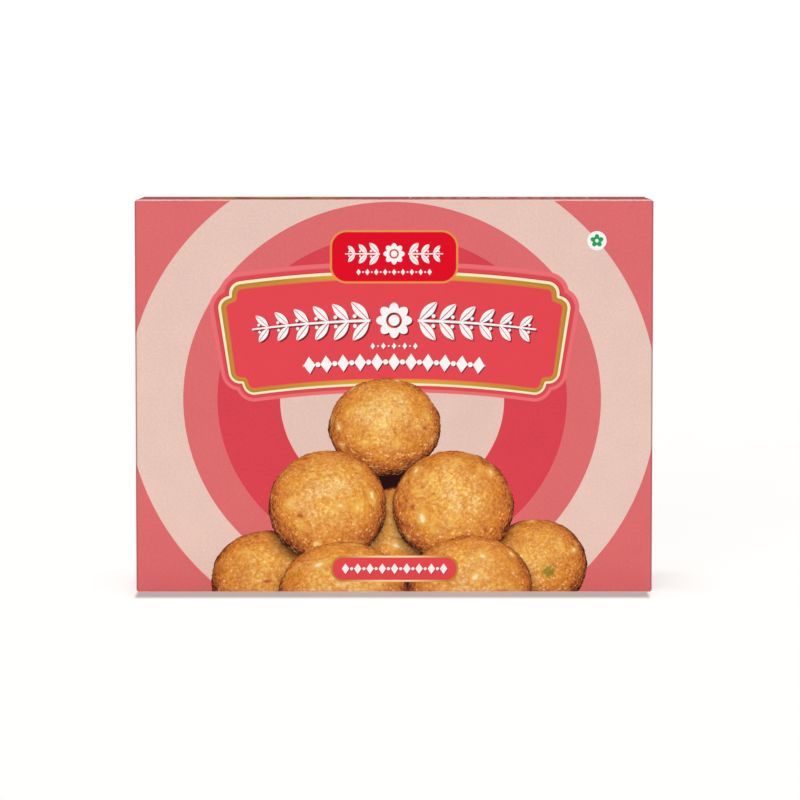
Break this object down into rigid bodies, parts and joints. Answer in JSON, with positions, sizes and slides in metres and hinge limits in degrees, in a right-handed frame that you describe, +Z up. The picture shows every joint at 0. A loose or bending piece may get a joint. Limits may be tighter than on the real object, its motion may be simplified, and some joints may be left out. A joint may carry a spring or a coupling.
{
  "type": "printed sweets carton",
  "caption": "Shut rectangular folding carton for sweets, printed paperboard with tuck ends, standing on its long narrow side.",
  "frame": {"origin": "middle of the base, the long narrow side that the carton stands on", "axes": "+Z up, +X along the long side from one tuck end to the other, printed front panel faces -Y"},
  "size_m": [0.21, 0.05, 0.16],
  "materials": {
    "printed_board": "offset print under satin varnish"
  },
  "bodies": {
    "root": {"carton": "printed_board"}
  },
  "joints": []
}
